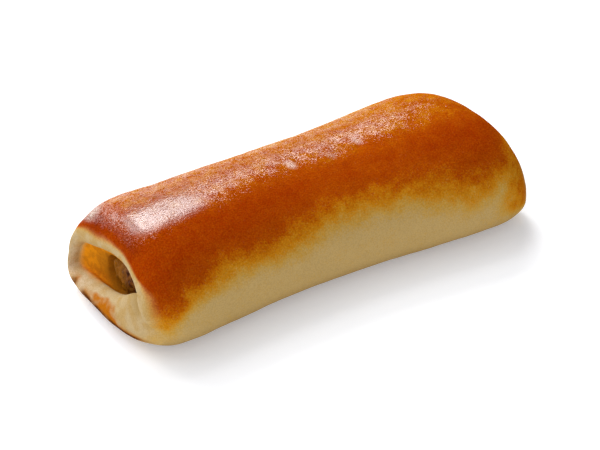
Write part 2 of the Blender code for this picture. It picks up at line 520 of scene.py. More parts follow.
class Graph:
    """A material's node tree."""

    MIX_SOCKETS = (0, 6, 7)             # a Mix node's factor and its two colours

    def __init__(self, name: str) -> None:
        """Start an empty material with a name."""
        self.material = bpy.data.materials.new(name)
        self.material.use_nodes = True
        self.tree = self.material.node_tree
        self.tree.nodes.remove(self.tree.nodes["Principled BSDF"])
        self.output = self.tree.nodes["Material Output"]

    def feed(self, socket: Socket, value: object) -> None:
        """Set or link a socket.

        Args:
            socket: the input that is fed.
            value: a number or colour, or the wire or socket that it is linked to.
        """
        if isinstance(value, Wire):
            self.tree.links.new(value.socket, socket)
        elif isinstance(value, Socket):
            self.tree.links.new(value, socket)
        elif socket.type == "RGBA":
            socket.default_value = (*value, 1.0)
        else:
            socket.default_value = value

    def node(self, kind: str, settings: dict | None = None, inputs: dict | None = None) -> NodeRef:
        """Add a node.

        Args:
            kind: the node's type.
            settings: its own settings, set before its sockets. A ramp's stops are given as
                pairs of a place and a colour.
            inputs: socket names or numbers, with their values or links.

        Returns:
            The new node.
        """
        node = self.tree.nodes.new(kind)
        for name, value in (settings or {}).items():
            if name == "stops":
                self.set_stops(node.color_ramp, value)
            else:
                setattr(node, name, value)
        for name, value in (inputs or {}).items():
            self.feed(node.inputs[name], value)
        return NodeRef(self, node)

    @staticmethod
    def set_stops(ramp: bpy.types.ColorRamp, stops: Stops) -> None:
        """Set a ramp's stops.

        Args:
            ramp: the ramp, which starts with two stops.
            stops: pairs of a place and a colour.
        """
        while len(ramp.elements) < len(stops):
            ramp.elements.new(1.0)
        for element, (place, colour) in zip(ramp.elements, stops):
            element.position = place
            element.color = (*colour, 1.0)

    def attribute(self, name: str) -> Wire:
        """A number stored on the mesh's points."""
        return self.node("ShaderNodeAttribute", {"attribute_name": name}).wire("Fac")

    def noise(self, texture: Texture) -> Wire:
        """Noise from 0 to 1 in the object's own space."""
        inputs = {"Vector": self.node("ShaderNodeTexCoord").out("Object"), "Scale": 1 / (texture.size * MM),
                  "Detail": texture.detail, "Roughness": texture.roughness}
        return self.node("ShaderNodeTexNoise", None, inputs).wire(0)

    def ramp(self, value: Wire, stops: Stops) -> Socket:
        """Colour read from a ramp."""
        return self.node("ShaderNodeValToRGB", {"stops": stops}, {"Fac": value}).out("Color")

    def mix(self, factor: Wire, first: object, second: object, blend: str = "MIX") -> Socket:
        """Blend of two colours by a factor."""
        inputs = dict(zip(self.MIX_SOCKETS, (factor, first, second)))
        return self.node("ShaderNodeMix", {"data_type": "RGBA", "blend_type": blend}, inputs).out(2)

    def bump(self, height: Wire, depth: float) -> Socket:
        """Normal bent by a height from 0 to 1, over a depth in millimetres."""
        return self.node("ShaderNodeBump", None, {"Height": height, "Distance": depth * MM}).out("Normal")

    def principled(self, **values: object) -> Socket:
        """A Principled shader with its sockets fed, named with underscores for spaces."""
        names = (name.replace("_", " ").title().replace("Ior", "IOR") for name in values)
        return self.node("ShaderNodeBsdfPrincipled", None, dict(zip(names, values.values()))).out("BSDF")

    def blend(self, factor: Wire, first: Socket, second: Socket) -> Socket:
        """Mix of two shaders by a factor."""
        return self.node("ShaderNodeMixShader", None, {0: factor, 1: first, 2: second}).out("Shader")

    def finish(self, shader: Socket) -> bpy.types.Material:
        """Put a shader on the material's surface."""
        self.feed(self.output.inputs["Surface"], shader)
        return self.material


# Finishes

@dataclass(frozen=True)
class CrustFinish:
    """Egg-washed bread crust, from pale sides to a red-brown top.

    A range eases a noise or a mask: its low and high, and then the result at each.
    """

    browning: Stops = (
        (0.00, (0.560, 0.380, 0.145)),
        (0.18, (0.585, 0.330, 0.060)),
        (0.38, (0.605, 0.240, 0.009)),
        (0.57, (0.520, 0.140, 0.002)),
        (0.71, (0.425, 0.072, 0.001)),
        (1.00, (0.320, 0.030, 0.0004)),
    )
    crumb: Colour = (0.54, 0.395, 0.205)
    golden_crumb: Colour = (0.49, 0.31, 0.105)
    # painted orange glow of light through the thin back wall of the pocket, mottled between these two
    amber: Colour = (0.80, 0.28, 0.008)
    painted_glow_dark: Colour = (0.56, 0.18, 0.008)
    bloom: Colour = (0.70, 0.58, 0.47)          # painted sheen: a pale highlight on the near shoulder and the lower lip
    layers: tuple[tuple[str, Colour], ...] = (  # laid one over another, each by its own mask
        ("toast", (0.47, 0.140, 0.006)),
        ("scorch", (0.22, 0.024, 0.003)),
        ("burn", (0.09, 0.024, 0.005)),
    )
    juice: Colour = (0.26, 0.095, 0.008)        # painted shade on the wall deep in, beside the meat
    # painted shade in the flap's crease and along the base
    shaded: Colour = (0.38, 0.245, 0.085)
    wet_shade: Colour = (0.72, 0.68, 0.68)      # how much darker the crust is under its shine
    pits: Colour = (0.35, 0.30, 0.30)           # and in its fine pits

    fine: Texture = Texture(0.50, 2.0, 0.6)     # grain of the colour
    specks: Texture = Texture(0.44, 1.0, 0.6)   # fine facets that catch the light, with pits between
    patches: Texture = Texture(2.6)             # where the wash lies thicker
    clouds: Texture = Texture(4.0, 3.0)         # broad mottle of the browning
    freckles: Texture = Texture(1.3)            # small mottle
    flecks: Texture = Texture(0.55, 1.0)        # pale flecks on the sides
    crumb_clouds: Texture = Texture(4.0)
    painted_glow_clouds: Texture = Texture(2.2, 3.0)
    pebbles: Texture = Texture(0.65, 1.0, 0.6)  # small relief
    wrinkles: Texture = Texture(1.5)            # and broader relief

    cloud_strength: float = 0.45
    freckle_strength: float = 0.12
    mottle_everywhere: float = 0.35
    mottle_between: float = 3.0         # more where pale turns to brown
    fine_everywhere: float = 0.30
    fine_on_brown: float = 0.30
    fleck_range: Row = (0.60, 0.75, 0.0, 0.22)
    crumb_range: Row = (0.40, 0.65, 0.0, 0.8)
    crumb_fine: float = 0.5
    painted_glow_range: Row = (0.42, 0.62, 0.0, 0.7)
    painted_sheen_range: Row = (0.35, 0.60, 0.4, 1.0)
    pit_range: Row = (0.35, 0.60, 1.0, 0.0)
    pits_everywhere: float = 0.15
    pits_on_glaze: float = 0.42
    pits_on_brown: float = 0.13
    glaze_cover: float = 2.8            # how fast a thicker wash covers the specks
    patch_cover: float = 3.0
    least_cover: float = -1.7
    speck_contrast: float = 5.5
    sparkle: float = 0.72               # shine of the specks
    glaze_range: Row = (0.0, 0.3)
    wet_range: Row = (0.25, 0.85)
    facet_range: Row = (0.35, 0.55, 0.75, 1.0)
    pebble_share: float = 0.6
    wrinkle_share: float = 0.5
    matt_depth: float = 0.12            # bump depths, in millimetres
    glossy_depth: float = 0.21
    wet_smoothing: float = 0.40         # the wash levels the relief where it is thick
    matt: float = 0.70                  # roughnesses
    glossy: float = 0.24

    def baked(self, g: Graph, brown: Wire, fine: Wire) -> Socket:
        """Colour of the oven's browning, mottled.

        Args:
            g: the material's graph.
            brown: how far the crust is browned.
            fine: the fine grain.

        Returns:
            The colour.
        """
        clouds = (g.noise(self.clouds) - 0.5) * self.cloud_strength
        mottle = clouds + (g.noise(self.freckles) - 0.5) * self.freckle_strength
        mottled = mottle * (brown * (1 - brown) * self.mottle_between + self.mottle_everywhere)
        grained = (fine - 0.5) * (brown * self.fine_on_brown + self.fine_everywhere)
        colour = g.ramp((brown + mottled + grained).clipped(), self.browning)
        return g.mix(g.noise(self.flecks).eased(*self.fleck_range) * (1 - brown), colour, self.crumb)

    def marked(self, g: Graph, colour: Socket, fine: Wire, specks: Wire) -> Socket:
        """Colour of the crust with bare rims, painted glow, shade and sheen, and marks laid over it.

        Args:
            g: the material's graph.
            colour: the browned crust.
            fine, specks: the fine noises.

        Returns:
            The colour.
        """
        golden = g.noise(self.crumb_clouds).eased(*self.crumb_range) + (fine - 0.5) * self.crumb_fine
        colour = g.mix(g.attribute("crumb"), colour, g.mix(golden, self.crumb, self.golden_crumb))
        # painted glow on the pocket's back wall, painted shade deep in it, in the crease and along the base,
        # and a painted sheen
        darker = g.noise(self.painted_glow_clouds).eased(*self.painted_glow_range)
        colour = g.mix(g.attribute("amber"), colour, g.mix(darker, self.amber, self.painted_glow_dark))
        colour = g.mix(g.attribute("juice"), colour, self.juice)
        colour = g.mix(g.attribute("shade"), colour, self.shaded)
        colour = g.mix(g.attribute("bloom") * specks.eased(*self.painted_sheen_range), colour, self.bloom)
        for mask, layer in self.layers:
            colour = g.mix(g.attribute(mask), colour, layer)
        return colour

    def shine(self, g: Graph, glaze: Wire, wet: Wire, specks: Wire) -> Wire:
        """Share of the glossy wash over the matt crust: specks on a thin wash, all of it on a thick one.

        Args:
            g: the material's graph.
            glaze, wet: how thinly and how thickly the wash lies.
            specks: the facets' noise.

        Returns:
            The share, from 0 to 1.
        """
        patches = (g.noise(self.patches) - 0.5) * self.patch_cover
        cover = glaze * self.glaze_cover + patches + self.least_cover
        sparkle = ((specks - 0.5) * self.speck_contrast + cover).clipped() * self.sparkle
        pool = wet.eased(*self.wet_range) * specks.eased(*self.facet_range)
        return glaze.eased(*self.glaze_range) * sparkle.larger(pool)

    def material(self) -> bpy.types.Material:
        """Build the crust's material.

        Returns:
            A material that reads the masks stored on the mesh.
        """
        g = Graph("baked_crust")
        brown, glaze, wet = g.attribute("browning"), g.attribute("glaze"), g.attribute("wet")
        fine, specks = g.noise(self.fine), g.noise(self.specks)
        colour = self.marked(g, self.baked(g, brown, fine), fine, specks)
        pitted = glaze * self.pits_on_glaze + brown * self.pits_on_brown + self.pits_everywhere
        colour = g.mix(specks.eased(*self.pit_range) * pitted, colour, self.pits, "MULTIPLY")
        relief = g.noise(self.pebbles) * self.pebble_share + g.noise(self.wrinkles) * self.wrinkle_share
        matt = g.principled(base_color=colour, roughness=self.matt, specular_ior_level=0.0,
                            normal=g.bump(relief, self.matt_depth))
        dimmed = g.mix(wet, colour, self.wet_shade, "MULTIPLY")
        washed = g.principled(base_color=dimmed, roughness=self.glossy, specular_ior_level=1.0,
                              normal=g.bump(relief * (1 - wet * self.wet_smoothing), self.glossy_depth))
        return g.finish(g.blend(self.shine(g, glaze, wet, specks), matt, washed))


@dataclass(frozen=True)
class MeatFinish:
    """Moist cooked mince, grey-brown with darker and paler grains."""

    mince: Stops = (
        (0.36, (0.045, 0.009, 0.002)),
        (0.50, (0.160, 0.045, 0.005)),
        (0.66, (0.300, 0.120, 0.020)),
    )
    soaked: Colour = (0.32, 0.115, 0.004)  # orange beside the pocket's back wall, part seeping meat juices and part a spill of the wall's painted glow
    grains: Texture = Texture(2.2, 3.0, 0.6)
    glow_and_seep_clouds: Texture = Texture(1.5)
    least_glow_and_seep: float = 0.3
    relief: Texture = Texture(0.6)
    depth: float = 0.12                    # millimetres
    roughness: float = 0.50
    specular: float = 0.06

    def material(self) -> bpy.types.Material:
        """Build the meat's material.

        Returns:
            A material that reads from the mesh where the meat takes the orange of seeping meat juices and
            painted glow.
        """
        g = Graph("minced_meat")
        colour = g.ramp(g.noise(self.grains), self.mince)
        soaked = g.attribute("soaked") * (g.noise(self.glow_and_seep_clouds) + self.least_glow_and_seep)
        colour = g.mix(soaked, colour, self.soaked)
        normal = g.bump(g.noise(self.relief), self.depth)
        return g.finish(g.principled(base_color=colour, roughness=self.roughness,
                                     specular_ior_level=self.specular, normal=normal))


@dataclass(frozen=True)
class FloorFinish:
    """Plain pale studio floor."""

    colour: Colour = (0.90, 0.90, 0.90)
    roughness: float = 0.9
    glow: float = 0.24                  # light from under a translucent studio sweep
    glow_colour: Colour = (0.93, 1.0, 1.14)

    def material(self) -> bpy.types.Material:
        """Build the floor's material.

        Returns:
            A pale matt material with a faint glow of its own.
        """
        g = Graph("studio_floor")
        shader = g.principled(base_color=self.colour, roughness=self.roughness, specular_ior_level=0.0,
                              emission_color=self.glow_colour, emission_strength=self.glow)
        return g.finish(shader)


# Where the dough is browned, washed and marked, and where glow, shade and sheen are painted on it. Turns are
# in degrees, other lengths in millimetres

@dataclass
class Places:
    """Where each point of the skin lies, before its relief."""

    points: np.ndarray                  # in rows of three
    angle: np.ndarray                   # round its ring, in radians
    zone: np.ndarray                    # number of its zone
    progress: np.ndarray                # over its end, as in the skin
    wandering: Lumps = Lumps(((9.0, 3, 1.0), (3.5, 4, 0.5)))
    patching: Lumps = Lumps(((4.0, 6, 1.4), (1.4, 8, 0.7)))
    patch_bias: float = 0.6

    def __post_init__(self) -> None:
        """Work out what the masks share."""
        self.x, self.z = self.points[..., 0], self.points[..., 2]
        self.near = self.zone == Zone.NEAR.value
        self.ending = self.near | (self.zone == Zone.FAR.value)
        self.from_back = turn_from(self.angle, 0.0)
        self.from_top = turn_from(self.angle, 90.0)
        self.from_front = turn_from(self.angle, 180.0)
        self.wander = self.wandering.at(self.points)
        self.patchy = smoothstep(self.patching.at(self.points) + self.patch_bias)

    def patched(self, least: float) -> np.ndarray:
        """1 in patches, down to a least value between them."""
        return least + (1 - least) * self.patchy


@dataclass(frozen=True)
class Browning:
    """How far the oven has browned the crust."""

    most: float = 0.92
    pale_below: Row = (3.0, 14.0, 16.0, 15.5, 18.5, 18.5, 14.0, 11.5, 24.0)
    brown_above: Row = (28.0, 29.5, 31.0, 33.0, 34.0, 33.5, 36.0, 33.5, 33.0)
    edge_wander: float = 1.2             # how far its edge wanders up and down
    tongue: Bump = Bump(-60.0, 4.5)      # in x, beside the near end, where it hangs lower
    tongue_drop: float = 3.5
    tongue_turn: float = 60.0            # from the front
    flush: float = 0.55                  # browning that reaches down the far end
    flush_along: Rise = Rise(49.0, 18.0)
    flush_up: Rise = Rise(4.0, 9.0)
    flush_wander: float = 2.0
    flush_turn: float = -60.0            # from the front
    body: Rise = Rise(-64.0, 10.0)       # in x: the near shoulder doesn't fade
    ridge_fade: float = 0.30             # how much paler the crust is on the ridge
    ridge_turn: Fall = Fall(24.0, 26.0)  # from the top
    ridge_wander: float = 3.0
    back_fade: float = 0.08              # how much paler still it is beyond the ridge
    back_turn: Fall = Fall(0.0, 30.0)
    underside: float = 0.55
    underside_up: Fall = Fall(1.8, 1.6)
    underside_over: float = 1.2          # progress over an end where the tray has stopped touching

    def mask(self, form: RollForm, at: Places, bare: np.ndarray) -> np.ndarray:
        """How brown the skin is.

        Args:
            form: the roll's form.
            at: the skin's points.
            bare: how bare the rims are.

        Returns:
            A value from 0 to 1 for each point.
        """
        low, high = form.along(self.pale_below, at.x), form.along(self.brown_above, at.x)
        tongue = self.tongue_drop * at.near * self.tongue.at(at.x) * (at.from_front < self.tongue_turn)
        brown = self.most * smoothstep((at.z + tongue + self.edge_wander * at.wander - low) / (high - low))
        flush = self.flush * self.flush_along.at(at.x + self.flush_wander * at.wander)
        flush *= self.flush_up.at(at.z) * (at.from_front > self.flush_turn)
        brown = np.maximum(brown, flush)
        fade = self.ridge_fade * self.ridge_turn.at(at.from_top + self.ridge_wander * at.wander)
        fade += self.back_fade * self.back_turn.at(at.from_top)
        brown *= 1 - fade * self.body.at(at.x)
        underside = self.underside * self.underside_up.at(at.z) * (at.progress < self.underside_over)
        return np.maximum(brown * (1 - bare), underside)


@dataclass(frozen=True)
class BareRim:
    """Bare, pale dough on the rims. Starts and lengths are in progress over an end."""

    start: float = 0.70
    length: float = 0.16
    uneven: Lumps = Lumps(((5.0, 5, 0.05),))
    front: Span = Span(Rise(-45.0, 25.0), Fall(60.0, 30.0))  # where it starts sooner and blends further
    front_sooner: float = 0.26
    front_longer: float = 0.42
    corner: Bump = Bump(-50.0, 25.0)    # from the front: where it starts later at the near end
    corner_later: float = 0.15
    shoulder: Bump = Bump(65.0, 25.0)   # where it blends further too
    shoulder_longer: float = 0.14

    def mask(self, at: Places) -> np.ndarray:
        """How bare the skin is.

        Args:
            at: the skin's points.

        Returns:
            A value from 0 to 1 for each point.
        """
        front = self.front.at(at.from_front)
        later = self.corner_later * at.near * self.corner.at(at.from_front) + self.uneven.at(at.points)
        start = self.start - self.front_sooner * front + later
        longer = self.front_longer * front + self.shoulder_longer * self.shoulder.turned(at.angle)
        return smoothstep((at.progress - start) / (self.length + longer)) * at.ending


@dataclass(frozen=True)
class EggWash:
    """Where the egg wash lies. Turns are from the top."""

    along: Row = (0.9, 1.0, 1.0, 0.9, 0.9, 0.9, 0.85, 0.55, 0.10)
    front: Row = (32.0, 30.0, 26.0, 23.0, 21.0, 20.0, 20.0, 18.0, 16.0)  # where it ends
    front_length: float = 32.0
    front_wander: float = 4.0
    thinner: float = 0.20               # how much thinner it is behind the ridge
    thinner_turn: Fall = Fall(-4.0, 22.0)
    back: Rise = Rise(-84.0, 34.0)      # where it ends at the back
    back_wander: float = 5.0
    rim_thinner: float = 0.8            # how much thinner it is towards the near rim
    rim: Rise = Rise(0.50, 0.2)         # in progress over the end
    pool_along: Span = Span(Rise(-62.0, 5.0), Fall(-24.0, 20.0))
    pool_turn: Bump = Bump(2.0, 12.5)
    drops: tuple[Row, ...] = (          # x, angle and strength of each
        (-26.0, 89.0, 0.5), (-2.8, 91.0, 0.8), (10.5, 94.0, 0.6), (21.9, 89.0, 0.7))
    drop_length: float = 2.2
    drop_turn: float = 5.5

    def thin(self, form: RollForm, at: Places, body: np.ndarray) -> np.ndarray:
        """Where it lies at all.

        Args:
            form: the roll's form.
            at: the skin's points.
            body: 1 but for the near shoulder.

        Returns:
            A value from 0 to 1 for each point.
        """
        front = form.along(self.front, at.x) - at.from_top - self.front_wander * at.wander
        glazed = form.along(self.along, at.x) * smoothstep(front / self.front_length)
        glazed *= 1 - self.thinner * self.thinner_turn.at(at.from_top) * body
        glazed *= self.back.at(at.from_top - self.back_wander * at.wander)
        return glazed * (1 - self.rim_thinner * at.near * self.rim.at(at.progress))

    def pooled(self, at: Places) -> np.ndarray:
        """Where it lies thick, in a pool behind the near end and in a few drops.

        Args:
            at: the skin's points.

        Returns:
            A value from 0 to 1 for each point.
        """
        wet = self.pool_along.at(at.x) * self.pool_turn.at(at.from_top)
        for x, angle, strength in self.drops:
            drop = bell(at.x - x, self.drop_length) * bell(turn_from(at.angle, angle), self.drop_turn)
            wet = np.maximum(wet, strength * drop)
        return wet


@dataclass(frozen=True)
class Pocket:
    """Inner wall of a mouth, with a painted orange glow of light through the thin dough at the back. Starts
    and lengths are in progress over an end.
    """

    start: float = 2.0
    length: float = 0.25
    lower_lip: Bump = Bump(290.0, 50.0)  # where it starts sooner and blends further
    lip_sooner: float = 0.25
    lip_longer: float = 0.3
    soaked: Span = Span(Rise(-88.0, 18.0), Fall(110.0, 30.0))  # from the back
    deep: Rise = Rise(2.35, 0.6)
    # strength of the painted shade deep in the pocket
    juice: float = 0.6

    def masks(self, at: Places, bare: np.ndarray) -> dict[str, np.ndarray]:
        """Bare crumb, the painted glow on the back wall and painted shade deeper in.

        Args:
            at: the skin's points.
            bare: how bare the rims are.

        Returns:
            Values from 0 to 1 for the points, for each mask.
        """
        lip = self.lower_lip.turned(at.angle)
        sooner, longer = self.lip_sooner * lip, self.lip_longer * lip
        inside = smoothstep((at.progress - self.start + sooner) / (self.length + longer))
        # painted glow of light through the back wall, and painted shade deeper in
        soaked = inside * self.soaked.at(at.from_back)
        juice = self.juice * inside * self.deep.at(at.progress)
        return {"crumb": bare * (1 - soaked), "amber": soaked, "juice": juice}


@dataclass(frozen=True)
class OvenMarks:
    """Toast, scorch and burning on the near end, and painted shade and painted sheen on the dough."""

    foot_over: Rise = Rise(0.45, 0.3)        # progress over the end
    foot_end: float = 1.7
    patch: Bump = Bump(262.0, 17.0)          # a broken toasted patch under the lower lip
    patch_over: Fall = Fall(1.60, 0.2)
    patch_wander: float = 0.15
    patch_gain: float = 1.5
    patch_edge: float = 0.02                 # the patch ends where it is fainter than this
    broken: Lumps = Lumps(((2.6, 9, 0.55),))
    broken_bias: float = -0.12
    line_turn: Fall = Fall(116.0, 10.0)      # from the front: a line along the foot
    line_spot: Bump = Bump(310.0, 5.0)
    toast_up: Fall = Fall(7.8, 2.0)
    toast_least: float = 0.15
    toast_line: float = 0.7
    toast_between: float = 0.5               # strengths between patches
    burn_up: Fall = Fall(6.8, 1.5)
    burn_between: float = 0.5
    scorch: float = 0.8
    scorch_over: Bump = Bump(0.56, 0.18)
    scorch_turns: tuple[tuple[Bump, float], ...] = ((Bump(58.0, 15.0), 1.0), (Bump(104.0, 10.0), 0.8))
    scorch_between: float = 0.4
    fold: float = 0.85                       # shade in the crease of the flap
    fold_over: Span = Span(Rise(1.0, 0.3), Fall(2.2, 0.4))
    fold_angle: float = 191.0
    fold_side: Rise = Rise(-1.0, 3.0)        # beside that angle
    fold_width: float = 22.0
    base_up: Fall = Fall(10.0, 9.0)          # shade along the base
    base_over: float = 0.4
    base_turn: float = 95.0                  # from the front
    lip: float = 0.55                        # painted sheen on the near rim
    lip_over: Bump = Bump(1.4, 0.42)
    lip_turn: Bump = Bump(318.0, 48.0)
    shoulder_along: Bump = Bump(-61.5, 3.0)  # painted sheen on the near shoulder
    shoulder_turn: Bump = Bump(47.0, 8.0)
    shoulder_over: Fall = Fall(0.66, 0.2)

    def baked_on(self, at: Places) -> tuple[np.ndarray, np.ndarray, np.ndarray]:
        """Marks of the oven's heat.

        Args:
            at: the skin's points.

        Returns:
            Toast, burning and scorch, before they are broken into patches.
        """
        foot = at.near * (at.progress < self.foot_end) * self.foot_over.at(at.progress)
        patch = self.patch_over.at(at.progress - self.patch_wander * at.wander) * self.patch.turned(at.angle)
        broken = (self.broken.at(at.points) + self.broken_bias) * (patch > self.patch_edge)
        line = self.line_turn.at(np.abs(at.from_front)) + self.line_spot.turned(at.angle)
        edge = self.toast_up.at(at.z) * (self.toast_least + self.toast_line * line)
        toast = foot * np.maximum(edge, smoothstep(self.patch_gain * patch + broken))
        burn = foot * self.burn_up.at(at.z) * np.clip(line, 0, 1)
        turns = sum(strength * bump.turned(at.angle) for bump, strength in self.scorch_turns)
        return toast, burn, self.scorch * at.near * self.scorch_over.at(at.progress) * turns

    def shaded(self, at: Places) -> np.ndarray:
        """Painted shade in the flap's crease and along the base.

        Args:
            at: the skin's points.

        Returns:
            A value from 0 to 1 for each point.
        """
        beside = turn_from(at.angle, self.fold_angle)
        fold = self.fold * at.near * self.fold_over.at(at.progress)
        fold *= self.fold_side.at(beside) * bell(beside, self.fold_width)
        in_front = np.abs(at.from_front) < self.base_turn
        return np.maximum(fold, self.base_up.at(at.z) * (at.progress < self.base_over) * in_front)

    def masks(self, at: Places) -> dict[str, np.ndarray]:
        """Every mark, by the name that the finish reads.

        Args:
            at: the skin's points.

        Returns:
            Values from 0 to 1 for the points, for each mask.
        """
        toast, burn, scorch = self.baked_on(at)
        # painted sheen on the near shoulder and the lower lip
        shoulder = self.shoulder_along.at(at.x) * self.shoulder_turn.turned(at.angle)
        shoulder *= self.shoulder_over.at(at.progress)
        lip = self.lip * at.near * self.lip_over.at(at.progress) * self.lip_turn.turned(at.angle)
        lip *= 1 - np.clip(toast, 0, 1)
        return {
            "toast": toast * at.patched(self.toast_between),
            "burn": burn * at.patched(self.burn_between),
            "scorch": scorch * at.patched(self.scorch_between),
            "shade": self.shaded(at),
            "bloom": np.maximum(shoulder, lip),
        }


# Sub-assemblies

def make_piece(name: str, points: np.ndarray, faces: list[tuple[int, ...]], material: bpy.types.Material,
               masks: dict[str, np.ndarray] | None = None) -> bpy.types.Object:
    """Make a smooth mesh object.

    Args:
        name: the object's name.
        points: its points in metres, in rows of three.
        faces: point numbers of each face.
        material: its finish.
        masks: numbers to store on its points, by name.

    Returns:
        The object, linked to the scene.
    """
    mesh = bpy.data.meshes.new(name)
    mesh.from_pydata(points.tolist(), [], faces)
    mesh.shade_smooth()
    mesh.materials.append(material)
    for mask, values in (masks or {}).items():
        layer = mesh.attributes.new(mask, "FLOAT", "POINT")
        layer.data.foreach_set("value", np.clip(values, 0, 1).astype(np.float32).ravel())
    piece = bpy.data.objects.new(name, mesh)
    bpy.context.scene.collection.objects.link(piece)
    return piece


def ring_faces(rings: int, count: int, closed: bool) -> list[tuple[int, ...]]:
    """Four-sided faces between rings of points.

    Args:
        rings: how many rings there are.
        count: how many points each has.
        closed: whether a last strip goes back to the first ring.

    Returns:
        The point numbers of each face.
    """
    faces = []
    for ring in range(rings if closed else rings - 1):
        here, there = ring * count, (ring + 1) % rings * count
        for i in range(count):
            after = (i + 1) % count
            faces.append((here + i, here + after, there + after, there + i))
    return faces


@dataclass
class Dough:
    """The bread tube with its baked skin."""

    form: RollForm
    finish: CrustFinish = CrustFinish()
    browning: Browning = Browning()
    bare_rim: BareRim = BareRim()
    wash: EggWash = EggWash()
    pocket: Pocket = Pocket()
    marks: OvenMarks = OvenMarks()
    ring_points: int = 320
    body_steps: int = 150
    shoulder_steps: int = 26
    lip_steps: int = 14
    pocket_steps: int = 12
    channel_progress: float = 3.0
    unevenness: Lumps = Lumps(((15.0, 1, 0.30), (4.0, 2, 0.10)))  # broad sway and small ripples
    outside: Fall = Fall(2.0, 0.4)      # in progress over an end: the pocket's wall is smooth
    dents_until: float = 0.5

    def angles(self) -> np.ndarray:
        """Even angles round a ring, from the back over the top."""
        return np.linspace(0, 2 * np.pi, self.ring_points, endpoint=False)

    def end_skin(self, end: End, zone: Zone, angle: np.ndarray) -> Skin:
        """Rings over one end.

        Args:
            end: the end's sizes.
            zone: the stretch that the rings belong to.
            angle: angles round a ring, in radians.

        Returns:
            The rings, from the body's shoulder over the rim and in to where the channel begins.
        """
        mouth = np.stack([around(end.mouth_y, angle), around(end.mouth_z, angle)])
        rim_x, share, depth = (quarters(four, angle) for four in (end.rim_x, end.rim_share, end.lip_depth))
        shoulder_x = end.side * (self.form.half_span - end.shoulder)
        skin = Skin()
        for progress in np.linspace(0, 1, self.shoulder_steps + 1):
            turn = progress * QUARTER_TURN
            x = shoulder_x + (rim_x - shoulder_x) * np.sin(turn)
            outer = np.stack(self.form.section(x, angle))
            crest = mouth + (outer - mouth) * share
            y, z = crest + (outer - crest) * np.cos(turn)
            skin.add(zone, progress, x + end.side * self.form.flap(end, angle, progress), y, z)
        crest = skin.points[-1][:, 1:].T
        for progress in np.linspace(0, 1, self.lip_steps + 1)[1:]:
            turn = progress * QUARTER_TURN
            x = rim_x - end.side * depth * (1 - np.cos(turn))
            y, z = crest + (mouth - crest) * np.sin(turn)
            skin.add(zone, 1 + progress, x + end.side * self.form.flap(end, angle, 1 + progress), y, z)
        lip_x, lip_y, lip_z = skin.points[-1].T
        inner_y, inner_z = self.form.channel_section(end.pocket_end, angle)
        for progress in np.linspace(0, 1, self.pocket_steps + 1)[1:]:
            ease = smoothstep(progress)
            x = lip_x + (end.pocket_end - lip_x) * progress
            y, z = lip_y + (inner_y - lip_y) * ease, lip_z + (inner_z - lip_z) * ease
            skin.add(zone, 2 + progress, x, y, z)
        return skin

    def skin(self, angle: np.ndarray) -> Skin:
        """Closed run of rings over the whole dough.

        Args:
            angle: angles round a ring, in radians.

        Returns:
            The rings, out along the body, in at the far end and back along the channel.
        """
        near = self.end_skin(NEAR_END, Zone.NEAR, angle)
        far = self.end_skin(FAR_END, Zone.FAR, angle)
        skin = Skin()
        for x in np.linspace(near.points[0][0, 0], far.points[0][0, 0], self.body_steps + 1)[1:-1]:
            skin.add(Zone.BODY, 0.0, x, *self.form.section(x, angle))
        skin.extend(far)
        for x in self.form.channel_stations[::-1]:
            skin.add(Zone.CHANNEL, self.channel_progress, x, *self.form.channel_section(x, angle))
        skin.extend(near, backwards=True)
        return skin

    def outward(self, points: np.ndarray) -> np.ndarray:
        """Directions out of the skin.

        Args:
            points: the closed rings of points.

        Returns:
            A unit vector for each point.
        """
        across = np.roll(points, -1, axis=1) - np.roll(points, 1, axis=1)
        along = np.roll(points, -1, axis=0) - np.roll(points, 1, axis=0)
        normal = np.cross(across, along)
        normal /= np.linalg.norm(normal, axis=-1, keepdims=True)
        top = self.ring_points // 4
        return normal if normal[0, top, 2] > 0 else -normal

    def relief(self, points: np.ndarray, progress: np.ndarray) -> np.ndarray:
        """Height of the skin's unevenness and of its dents.

        Args:
            points: the skin's points.
            progress: how far over its end each one is.

        Returns:
            The height of each point over the plain skin, in millimetres.
        """
        uneven = self.unevenness.at(points) * self.outside.at(progress)
        return uneven - self.form.ridge_dent(points) * (progress < self.dents_until)

    def masks(self, at: Places) -> dict[str, np.ndarray]:
        """Every mask by the name that the finish reads.

        Args:
            at: the skin's points, before their relief.

        Returns:
            Values from 0 to 1 for the points, for each mask.
        """
        bare = self.bare_rim.mask(at)
        glazed = self.wash.thin(self.form, at, self.browning.body.at(at.x))
        return {
            "browning": self.browning.mask(self.form, at, bare),
            "glaze": glazed * (1 - bare),
            "wet": self.wash.pooled(at),
            **self.pocket.masks(at, bare),
            **self.marks.masks(at),
        }

    def build(self, place: np.ndarray) -> bpy.types.Object:
        """Build the skin and dress it.

        Args:
            place: what is added to a point of the form, in millimetres, to bring it into the frame.

        Returns:
            The finished piece.
        """
        skin = self.skin(self.angles())
        points = np.array(skin.points)
        zones = [zone.value for zone in skin.zones]
        angle, zone = np.meshgrid(self.angles(), zones)
        progress = np.meshgrid(self.angles(), skin.progress)[1]
        masks = self.masks(Places(points, angle, zone, progress))
        points = points + self.outward(points) * self.relief(points, progress)[..., None]
        points[..., 2] = np.maximum(points[..., 2] - self.form.rest_flat, 0)
        faces = ring_faces(len(points), self.ring_points, closed=True)
        placed = (points.reshape(-1, 3) + place) * MM
        piece = make_piece("dough_skin", placed, faces, self.finish.material(), masks)
        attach(piece, "root")
        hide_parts("dough")
        return piece


